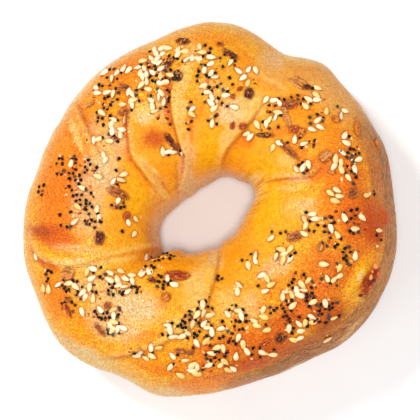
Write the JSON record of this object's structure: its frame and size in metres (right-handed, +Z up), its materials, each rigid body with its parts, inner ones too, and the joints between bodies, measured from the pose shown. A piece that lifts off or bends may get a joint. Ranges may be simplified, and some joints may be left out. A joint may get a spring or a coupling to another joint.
{
  "type": "bagel",
  "caption": "Ring of baked dough with an oval hole, folds in its crust and a seeded top, that lies on a flat base.",
  "frame": {"origin": "on the surface that the bagel lies on, under the middle of its outline", "axes": "+Z up out of the seeded top, +Y towards the top of the picture, +X to its right"},
  "size_m": [0.1172, 0.1178, 0.0391],
  "materials": {
    "crust": "baked crust, golden to orange brown, soft satin gloss",
    "sesame": "ivory seed, slightly oily",
    "poppy": "blue-black seed, dull",
    "onion": "dried onion flake, tan to dark brown, toasted"
  },
  "bodies": {
    "root": {"bagel": "crust"}
  },
  "joints": []
}
